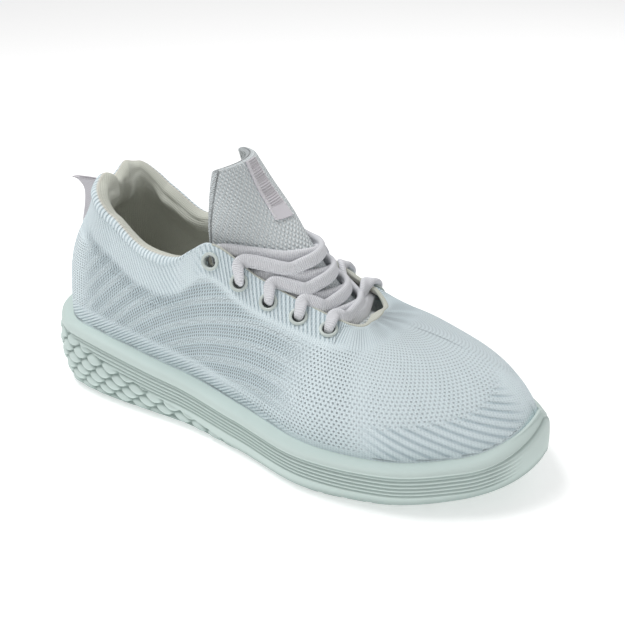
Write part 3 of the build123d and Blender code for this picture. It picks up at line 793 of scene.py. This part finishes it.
def collarRoll():
    # Padded roll: half an ellipse over the edge, then the lining down to the footbed, closed
    # behind. Ears and lumps are bell curves exp(-(gap / width)^2) along the wall and up it.
    s, side, along = circuit(-collar["reach"], collar["reach"], collar["columnStep"], 0.9)
    ends = ramp(s, collar["reach"], collar["reach"] - .045)[None, :]
    ear = np.exp(-((s - collar["earAt"]) / .045) ** 2)[None, :]
    thick = 3.2 + (collar["thickness"] - 3.2) * ends + collar["earThick"] * ear
    crown = 1.2 + (collar["crown"] - 1.2) * ends + collar["earRise"] * ear
    stand = collar["stand"] * ends
    s, side = s[None, :], side[None, :]
    swell = 1 + 0.10 * np.sin(along / 9.5) * np.sin(along / 23)[None, :]
    outV = np.linspace(.982, 1, 5)[:, None]
    outer = wallPoint(s, side, outV, -0.25 - stand * ramp(outV, .982, .995))
    theta = np.linspace(0, math.pi, 24)[1:-1, None]
    middle, half = (thick - stand - 0.25) / 2, (thick + stand + 0.25) / 2
    over = wallPoint(s, side, np.ones_like(theta), middle - half * np.cos(theta),
                     crown * swell * np.sin(theta) ** 0.85)
    inV = np.linspace(1, .06, 56)[:, None]
    pad = thick - (thick - 4.7) * ramp(inV, .74, .5)
    # padded lumps behind the ankle, and soft wrinkles
    lump = np.exp(-((s - .17) / .05) ** 2 - ((inV - .84) / .09) ** 2)
    lump = lump + 0.8 * np.exp(-((s - .30) / .045) ** 2 - ((inV - .80) / .09) ** 2)
    wrinkle = 0.5 * np.sin(along / 3.3 + 6 * inV) * np.sin(along / 14.0) * ramp(inV, .62, .8)
    wrinkle = wrinkle * ramp(inV, .995, .93)
    inner = wallPoint(s, side, inV, pad + wrinkle + collar["lump"] * lump)
    backV = np.linspace(.06, .98, 12)[:, None]
    back = wallPoint(s, side, backV, knit["thickness"] + 0.5)
    points = np.concatenate((outer, over, inner, back))
    up = wallRun(points)
    uv = {"cloth": np.stack((np.broadcast_to(along, up.shape), up), -1)}
    turned = np.concatenate((0 * outV, theta / math.pi, 0 * inV + 1, 0 * backV + 1))
    layers = {"wrap": ramp(turned, .44, .40), "piping": np.exp(-((turned - .43) / .055) ** 2)}
    piece = gridMesh("collarRoll", points, closeV=True, uv=uv, layers=layers, capU=True)
    dress(piece, collarFabric, "shoe_body", "lining_fabric", "collar_lining", "collar_foam")
    return piece


collarRoll()
print("collar made")

tongue = {
    "thickness": 4.9,
    "split": 1.9,               # section number at the tilt line
    "columnStep": 0.9,
    # lateral edge, ridge and medial edge of each cross-section, from the top down
    "sections": [
        ((-18, -20, 140), (-16.5, 4, 140), (-34, 25, 137)),
        ((-22, -20, 125), (-7, 4, 125), (-33, 27, 124)),
        ((-28, -16, 104), (8, 4, 109.5), (-31, 22, 106)),
        ((-25, -16, 83), (21, 5, 95), (-25, 22, 85)),
        ((-5, -18, 66), (32, 6, 79), (-4, 29, 68)),
        ((18, -20, 57), (45, 7, 69.5), (20, 30, 61)),
        ((40, -20, 56), (60, 8, 64.5), (42, 29, 58)),
    ],
    "tapeShare": 0.2,
    "tapeShift": -0.22,         # towards the outer side
    "tapeThickness": 1.2,
}


def catmull(a, b, c, d, t):
    # Cubic from b to c whose end slopes are (c - a) / 2 and (d - b) / 2.
    bend = (2 * a - 5 * b + 4 * c - d) * t ** 2 + (3 * b - a - 3 * c + d) * t ** 3
    return b + ((c - a) * t + bend) / 2


def tonguePoint(k, w, depth=0.0, push=0.0):
    # Catmull-Rom between sections; across a section the crown falls off as 1 - |w|^2.2.
    table = np.array(tongue["sections"], float)
    count = len(table)
    k, w = np.broadcast_arrays(np.asarray(k, float), np.asarray(w, float))
    i = np.clip(np.floor(k).astype(int), 0, count - 2)
    t = (k - i)[..., None, None]
    a, b = table[np.maximum(i - 1, 0)], table[i]
    c, d = table[i + 1], table[np.minimum(i + 2, count - 1)]
    at = catmull(a, b, c, d, t)
    left, ridge, right = at[..., 0, :], at[..., 1, :], at[..., 2, :]
    middle, across = (left + right) / 2, right - left
    crown = ridge - middle
    wide = np.sum(across * across, -1, keepdims=True)
    crown = crown - across * np.sum(crown * across, -1, keepdims=True) / wide
    w = w[..., None]
    onCurve = middle + across * w / 2 + crown * (1 - np.abs(w) ** 2.2)
    tallness = np.linalg.norm(crown, axis=-1, keepdims=True)
    lean = np.where(tallness > 3, crown / np.maximum(tallness, 1e-6), np.array([.8, 0, .6]))
    unit = across / np.sqrt(wide)
    turn = tallness * 2.2 * np.abs(w) ** 1.2 / (np.sqrt(wide) / 2) * np.sign(w)
    normal = lean + unit * turn
    normal = normal / np.linalg.norm(normal, axis=-1, keepdims=True)
    flat = unit - normal * np.sum(unit * normal, -1, keepdims=True)
    flat = flat / np.maximum(np.linalg.norm(flat, axis=-1, keepdims=True), 1e-6)
    return onCurve - normal * np.asarray(depth)[..., None] + flat * np.asarray(push)[..., None]


def tongueBody():
    # One closed pad: round each section, face, rounded edge, back and rounded edge again.
    half = tongue["thickness"] / 2
    face = np.linspace(-1, 1, 74)
    turn = np.linspace(0, math.pi, 9)[1:-1]
    w = np.concatenate((face, np.ones(7), face[::-1], -np.ones(7)))
    flat, bulge = 0 * face, np.sin(turn)
    depth = half * np.concatenate((flat, 1 - np.cos(turn), flat + 2, 1 + np.cos(turn)))
    push = half * np.concatenate((flat, bulge, flat, -bulge))
    k = np.concatenate((np.linspace(0, .16, 9), np.linspace(.16, 6, 180)[1:]))[:, None]
    # the face swells a little between its edges, and the top edge is rounded over
    puff = 0.5 * (1 - np.abs(w) ** 4) * (depth == 0)
    trim = 0.85 * (1 - np.sqrt(np.clip(1 - np.clip(1 - k / 0.16, 0, 1) ** 2, 0, 1)))
    deep = depth + (half - depth) * trim - puff * np.sin(math.pi * np.clip(k / 6, 0, 1)) ** .5
    points = tonguePoint(k, w[None, :], deep, push[None, :] * (1 - trim))
    up = wallRun(points)
    step = np.linalg.norm(np.diff(points, axis=1), axis=2)
    around = np.concatenate((np.zeros((len(k), 1)), np.cumsum(step, 1)), 1)
    around = around - around[:, 37:38]
    uv = {"cloth": np.stack((around, up), -1)}
    piece = gridMesh("tongueBody", points, closeU=True, uv=uv, fold=2 * len(face) + 6)
    piece.data.materials.append(tongueFabric)
    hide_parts(*(f"tongue_{part}_{ply}" for part in ("flap", "base")
                         for ply in ("face", "foam", "backing")))
    lower = tonguePoint(2.35, 0.0) * millimetre
    upper = tonguePoint(1.7, 0.0) * millimetre
    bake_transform(piece)
    return piece


def tongueTape():
    # Ribbed tape down the ridge of the flap, a closed strip with rounded sides.
    share, thick = tongue["tapeShare"], tongue["tapeThickness"]
    face = np.linspace(-share, share, 40)
    aside = np.concatenate((face, face[::-1]))
    w = aside + tongue["tapeShift"]
    lift = np.concatenate((np.full(40, thick), np.full(40, 0.1)))
    edge = ramp(np.abs(aside), share, share * .93)
    k = np.linspace(0.03, tongue["split"] - .16, 110)[:, None]
    run = wallRun(tonguePoint(k, w[None, :]))
    ribbed = ramp(k, 1.45, 1.38) * ramp(np.abs(aside), share * .78, share * .7)
    ribs = 0.12 * np.cos(2 * math.pi * run / 1.5) * (lift > 1) * ribbed
    top = 0.1 + (thick - 0.1) * (0.25 + 0.75 * edge)
    height = 0.35 + np.where(lift > 1, top, 0.0)[None, :] + ribs
    points = tonguePoint(k, w[None, :], -height)
    uv = {"cloth": np.stack((run, np.broadcast_to(aside / share * 6, run.shape)), -1)}
    stitch = np.exp(-((np.abs(aside / share) - .85) / .06) ** 2) * (lift > 1)
    layers = {"stitch": stitch[None, :], "ribbed": ribbed * (lift > 1)}
    piece = gridMesh("tongueTape", points, closeU=True, uv=uv, layers=layers, fold=len(w) - 1)
    return dress(piece, tapeFabric, "tongue_flap", "ribbon_fabric", "tongue_tape")


tongueBody()
tongueTape()
print("tongue made")


def eyeletRow(side, name, node):
    # Turned rings: a rounded flange over the cloth that runs into the barrel.
    angle = np.linspace(0, 2 * math.pi, 49)[:-1]
    hole, rim, stand = eyelet["hole"], eyelet["rim"], eyelet["stand"]
    turn = np.linspace(0, math.pi, 12)
    middle, half = (hole + rim) / 2, (rim - hole) / 2
    radius = np.concatenate((middle - half * np.cos(turn), [rim, hole + .45, hole + .45, hole]))
    foot = [-0.1, -0.1, -eyelet["barrel"], -eyelet["barrel"]]
    height = np.concatenate((0.25 + stand * np.sin(turn) ** .7 * .8, foot))
    grids = []
    for i in range(eyelet["count"]):
        at, along, toEdge, normal = eyeletPlane(i, side)
        ring = np.cos(angle)[:, None] * along + np.sin(angle)[:, None] * toEdge
        grids.append(at + radius[:, None, None] * ring + height[:, None, None] * normal)
    piece = gridMesh(name, np.array(grids), closeU=True, closeV=True)
    return dress(piece, eyeletPaint, "shoe_body", "eyelet_paint", node)


eyeletRow(-1, "eyeletRingsOuter", "eyelets_lateral")
eyeletRow(1, "eyeletRingsInner", "eyelets_medial")
print("eyelets made")

lace = {
    "width": 6.8,
    "throughWidth": 4.6,        # gathered where it passes an eyelet
    "thickness": 3.1,
    "step": 0.9,
    "lowLift": 1.5,
    "highLift": 4.1,
    "rows": [2.55, 3.1, 3.7, 4.3, 4.9],         # tongue sections beside each pair of eyelets
    "spans": [0.52, 0.5, 0.46, 0.4, 0.3],
}


def crossOver(row, side, lift):
    # Points, facing and width of a strand: eyelet, over the tongue, next row's other eyelet.
    to = row - 1
    points, facing, wide = [], [], []

    def add(point, face, width):
        points.append(point)
        facing.append(face)
        wide.append(width)

    at, _, toEdge, normal = eyeletPlane(row, side)
    add(at + normal * 0.4, toEdge, lace["throughWidth"])
    add(at + normal * 2.4 + toEdge * 1.6, normal - toEdge, 5.4)
    add(wallPoint(eyeletStation(row) - .003, side, 1.0, -1.7, 1.0), normal, 7.0)
    spanOut, spanIn = lace["spans"][row], lace["spans"][to]
    for w in np.linspace(-spanOut, spanIn, 9):
        k = lace["rows"][row] + (lace["rows"][to] - lace["rows"][row]) * (w + 1) / 2
        here = tonguePoint(k, -side * w)
        out = tonguePoint(k, -side * w, -1.0) - here
        add(here + out * lift, out, lace["width"])
    endAt, _, endEdge, endNormal = eyeletPlane(to, -side)
    add(wallPoint(eyeletStation(to) + .003, -side, .97, 5.2), endNormal, 6.4)
    add(endAt - endNormal * 5.2 + endEdge * 1.2, endNormal + endEdge, 5.0)
    return points, facing, wide


def laceHalf(side):
    points, facing, wide = [], [], []
    for row in range(eyelet["count"] - 1, 0, -1):
        more = crossOver(row, side, lace["highLift"] if side < 0 else lace["lowLift"])
        points, facing, wide = points + more[0], facing + more[1], wide + more[2]
        side = -side
    return points, facing, wide


def laceRibbon():
    # A flat band carried along the laced route, turned so that it lies on what it crosses.
    bottom = eyelet["count"] - 1
    outer, inner = laceHalf(-1), laceHalf(1)
    points, facing, wide = outer[0][::-1], outer[1][::-1], outer[2][::-1]
    for side in (-1, 1):
        at, _, toEdge, normal = eyeletPlane(bottom, side)
        under = [at - normal * 5.0, wallPoint(eyeletStation(bottom), side, .97, 5.6)]
        faces = [toEdge, normal]
        points += under if side < 0 else under[::-1]
        facing += faces if side < 0 else faces[::-1]
        wide += [4.4, 6.0] if side < 0 else [6.0, 4.4]
        if side < 0:
            for w in (-.2, 0, .2):
                here = tonguePoint(lace["rows"][bottom], w)
                out = tonguePoint(lace["rows"][bottom], w, -1.0) - here
                points.append(here + out * lace["lowLift"])
                facing.append(out)
                wide.append(lace["width"])
    points, facing, wide = points + inner[0], facing + inner[1], wide + inner[2]
    points, facing = np.array(points), np.array(facing)
    facing = facing / np.linalg.norm(facing, axis=1, keepdims=True)
    turned = np.sign(np.sum(facing[:-1] * facing[1:], 1))
    facing = facing * np.concatenate(([1], np.cumprod(np.where(turned == 0, 1, turned))))[:, None]
    line, rows = curveThrough(points, lace["step"])
    face = np.stack([np.interp(rows, np.arange(len(points)), facing[:, j]) for j in range(3)], 1)
    width = np.interp(rows, np.arange(len(points)), wide)
    line, face, width = soften(line, 3), soften(face, 4), soften(width[:, None], 4)[:, 0]
    ahead = np.gradient(line, axis=0)
    ahead = ahead / np.linalg.norm(ahead, axis=1, keepdims=True)
    face = face - ahead * np.sum(face * ahead, 1, keepdims=True)
    face = face / np.linalg.norm(face, axis=1, keepdims=True)
    across = np.cross(ahead, face)
    run = np.arange(len(line)) * lace["step"]
    print("lace length", round(float(np.sum(np.linalg.norm(np.diff(line, axis=0), axis=1)))), "mm")
    # section: a flat band with full round sides
    turn = np.linspace(-math.pi / 2, math.pi / 2, 6)
    half = lace["thickness"] / 2
    flat = np.linspace(-1, 1, 9)[1:-1]
    shift = np.concatenate((np.cos(turn) * half, flat * 0, -np.cos(turn) * half, flat * 0))
    share = np.concatenate((np.ones(6), -flat, -np.ones(6), flat))
    level = flat * 0 + 1
    tall = half * np.concatenate((np.sin(turn), level, -np.sin(turn), -level))
    reach = share[None, :] * (width[:, None] / 2 - half) + shift[None, :]
    sag = 0.05 * (1 - share[None, :] ** 2) * (width[:, None] > 6)
    surface = line[:, None] + across[:, None] * reach[..., None]
    surface = surface + face[:, None] * (tall + sag)[..., None]
    uv = {"cloth": np.stack(np.broadcast_arrays(run[:, None], reach), -1)}
    piece = gridMesh("laceRibbon", surface, closeU=True, uv=uv, fold=5)
    return dress(piece, laceFabric, "shoe_body", "lace_fabric", "lace", "lace_tips")


def curveThrough(points, spacing):
    # Catmull-Rom through the points, then even steps along it; rows says where each step lies.
    count = len(points)
    fine = np.linspace(0, count - 1, count * 40)
    i = np.clip(np.floor(fine).astype(int), 0, count - 2)
    t = (fine - i)[:, None]
    a, b = points[np.maximum(i - 1, 0)], points[i]
    c, d = points[i + 1], points[np.minimum(i + 2, count - 1)]
    line = catmull(a, b, c, d, t)
    steps, _ = evenly(line, spacing)
    rows = np.interp(steps, np.arange(len(fine)), fine)
    return np.stack([np.interp(steps, np.arange(len(fine)), line[:, j]) for j in range(3)], 1), rows


def soften(values, reach):
    # Mean over a few neighbours each way, with the ends held.
    before, after = np.repeat(values[:1], reach, 0), np.repeat(values[-1:], reach, 0)
    total = np.cumsum(np.concatenate((0 * values[:1], before, values, after)), 0)
    width = 2 * reach + 1
    return (total[width:] - total[:-width]) / width


laceRibbon()
print("lace made")

loop = {
    "reach": 25.0,
    "ply": 1.1,
    "half": 2.0,                # half the folded ribbon's thickness at the top
    "halfLow": 1.25,
    "clearance": 1.8,
    "span": (0.42, 0.985),      # share of the wall's height that its seam takes
}


def heelPull():
    # Folded ribbon: in plan a U of two straight plies and a half circle, longest at the top.
    t = np.linspace(0, 1, 60)[:, None]
    low, high = loop["span"]
    seam = wallPoint(0.0, -1, low + (high - low) * t[:, 0], -loop["clearance"])[:, None]
    reach = 3.0 + (loop["reach"] - 3.0) * t ** 1.05
    half = loop["halfLow"] + (loop["half"] - loop["halfLow"]) * t
    turn = np.linspace(-math.pi / 2, math.pi / 2, 13)[None, :]
    straight = np.linspace(0, 1, 14)[None, :-1]

    def uShape(wide):
        # One face of the U at half width wide: out along a ply, round the fold and back.
        out = np.concatenate((straight * (reach - half), reach - half + wide * np.cos(turn),
                              straight[:, ::-1] * (reach - half)), 1)
        aside = np.concatenate((-wide + 0 * straight, wide * np.sin(turn), wide + 0 * straight), 1)
        return out, aside

    outerOut, outerAside = uShape(half)
    innerOut, innerAside = uShape(half - loop["ply"])
    out = np.concatenate((outerOut, innerOut[:, ::-1]), 1)
    aside = np.concatenate((outerAside, innerAside[:, ::-1]), 1)
    sag = 1.2 * (out / loop["reach"]) ** 2
    points = np.stack((seam[..., 0] - out, seam[..., 1] + aside, seam[..., 2] - sag), -1)
    run = wallRun(points)
    stitch = np.exp(-((out - 2.4) / .45) ** 2) * ramp(t, .05, .15)
    uv = {"cloth": np.stack((run, out), -1)}
    layers = {"stitch": stitch, "ribbed": 0.6 + 0 * out}
    piece = gridMesh("heelPull", points, closeU=True, uv=uv, layers=layers, fold=out.shape[1] - 1)
    return dress(piece, loopFabric, "pull_loop", "ribbon_fabric", "heel_loop")


heelPull()
print("heel loop made")

binding = {"reach": 0.446, "stand": 0.35, "crown": 1.3}


def throatBinding():
    # Soft edge band: a thin half ellipse over the throat's edge, round its toe end.
    half = np.linspace(binding["reach"], 1, 300)
    signed = np.concatenate((-half, half[::-1][1:]))
    s, side = np.abs(signed), np.where(signed < 0, -1, 1)
    line = wallPoint(s, side, 1.0)
    rows, length = evenly(line, 1.2)
    s = np.interp(rows, np.arange(len(s)), s)
    side = np.where(rows < 299.5, -1, 1)
    turn = np.linspace(0, math.pi, 11)[:, None]
    half = knit["thickness"] / 2
    arc = wallPoint(s, side, np.ones_like(turn), half - (half + binding["stand"]) * np.cos(turn),
                    binding["crown"] * np.sin(turn))
    outV = np.linspace(.978, 1, 4)[:-1, None]
    outer = wallPoint(s, side, outV, -0.3 * ramp(outV, .975, .985))
    inner = wallPoint(s, side, outV[::-1], knit["thickness"] + .45)
    points = np.concatenate((outer, arc, inner))
    up = wallRun(points)
    along = np.linspace(0, length, points.shape[1])
    uv = {"cloth": np.stack((np.broadcast_to(along, up.shape), up), -1)}
    piece = gridMesh("throatBinding", points, closeV=True, uv=uv, capU=True)
    return dress(piece, liningFabric, "shoe_body", "lining_fabric")


throatBinding()
print("binding made")

nodes = frame["nodes"]
carried = {
    "outsole_heel": soleRubber, "outsole_forefoot": soleRubber, "outsole_toe": soleRubber,
    "strobel_board": innerFoam, "insole_foam": innerFoam, "insole_cloth": innerFoam,
    "heel_counter": innerFoam, "toe_puff": innerFoam, "eyestay_lateral": innerFoam,
    "eyestay_medial": innerFoam, "eyelet_washers_lateral": washerSteel,
    "eyelet_washers_medial": washerSteel,
}
for nodeName, material in carried.items():
    mesh = nodes[nodeName].data
    mesh.materials.clear()
    mesh.materials.append(material)
print("carried pieces dressed")

stage = {
    "floorSize": 6.0,
    "floorColour": (0.97, 0.97, 0.97),
    "floorGlow": 0.42,
    "world": 0.40,
}
# power, size and place of each soft box
lights = {
    "keySoftBox": (5.5, 0.45, (-0.30, -0.12, 0.95)),
    "fillSoftBox": (0.5, 0.9, (0.9, -0.5, 0.5)),
    "rimSoftBox": (1.0, 0.8, (0.2, 0.9, 0.7)),
}


def makeStage():
    # Wide pale floor on the ground.
    half = stage["floorSize"] / 2
    mesh = bpy.data.meshes.new("studioFloor")
    mesh.from_pydata([(-half, -half, 0), (half, -half, 0), (half, half, 0), (-half, half, 0)],
                     [], [(0, 1, 2, 3)])
    floor = bpy.data.objects.new("studioFloor", mesh)
    bpy.context.scene.collection.objects.link(floor)
    material, tree = newMaterial("floorPaper")
    setInputs(tree, tree.nodes["Principled BSDF"], {
        "Base Color": stage["floorColour"], "Roughness": 0.9, "Emission Color": (1, 1, 1),
        "Emission Strength": stage["floorGlow"]})
    mesh.materials.append(material)
    world = bpy.data.worlds.new("studioLight")
    world.use_nodes = True
    background = world.node_tree.nodes["Background"]
    background.inputs["Color"].default_value = (1, 1, 1, 1)
    background.inputs["Strength"].default_value = stage["world"]
    bpy.context.scene.world = world


def areaLight(name, power, size, at, target):
    # A square soft box that faces its target.
    data = bpy.data.lights.new(name, "AREA")
    data.energy = power
    data.size = size
    lamp = bpy.data.objects.new(name, data)
    bpy.context.scene.collection.objects.link(lamp)
    back = np.array(at, float) - np.array(target, float)
    back = back / np.linalg.norm(back)
    right = np.cross((0, 0, 1), back)
    right = right / np.linalg.norm(right)
    up = np.cross(back, right)
    turn = Matrix((right, up, back)).transposed().to_4x4()
    lamp.matrix_world = Matrix.Translation(at) @ turn


makeStage()
bpy.context.scene.view_settings.view_transform = "Standard"
for name, (watts, size, at) in lights.items():
    areaLight(name, watts, size, at, (0, 0, 0.05))

view = {
    "at": (0.2498, -0.3769, 0.2901),
    "azimuth": 31.45,           # degrees round from straight behind the outer side
    "elevation": 26.85,
    "roll": 0.01299,
    "lens": 57.44,
}


def makeCamera():
    # Axes from azimuth and elevation, then turned by the roll.
    azimuth, elevation = math.radians(view["azimuth"]), math.radians(view["elevation"])
    right = np.array((math.cos(azimuth), math.sin(azimuth), 0))
    level = math.cos(elevation)
    back = np.array((math.sin(azimuth) * level, -math.cos(azimuth) * level, math.sin(elevation)))
    up = np.cross(back, right)
    c, s = math.cos(view["roll"]), math.sin(view["roll"])
    right, up = c * right - s * up, s * right + c * up
    data = bpy.data.cameras.new("viewCamera")
    data.lens = view["lens"]
    data.sensor_width = 36
    camera = bpy.data.objects.new("viewCamera", data)
    bpy.context.scene.collection.objects.link(camera)
    turn = Matrix((right, up, back)).transposed().to_4x4()
    camera.matrix_world = Matrix.Translation(view["at"]) @ turn
    bpy.context.scene.camera = camera


makeCamera()
print("stage made")
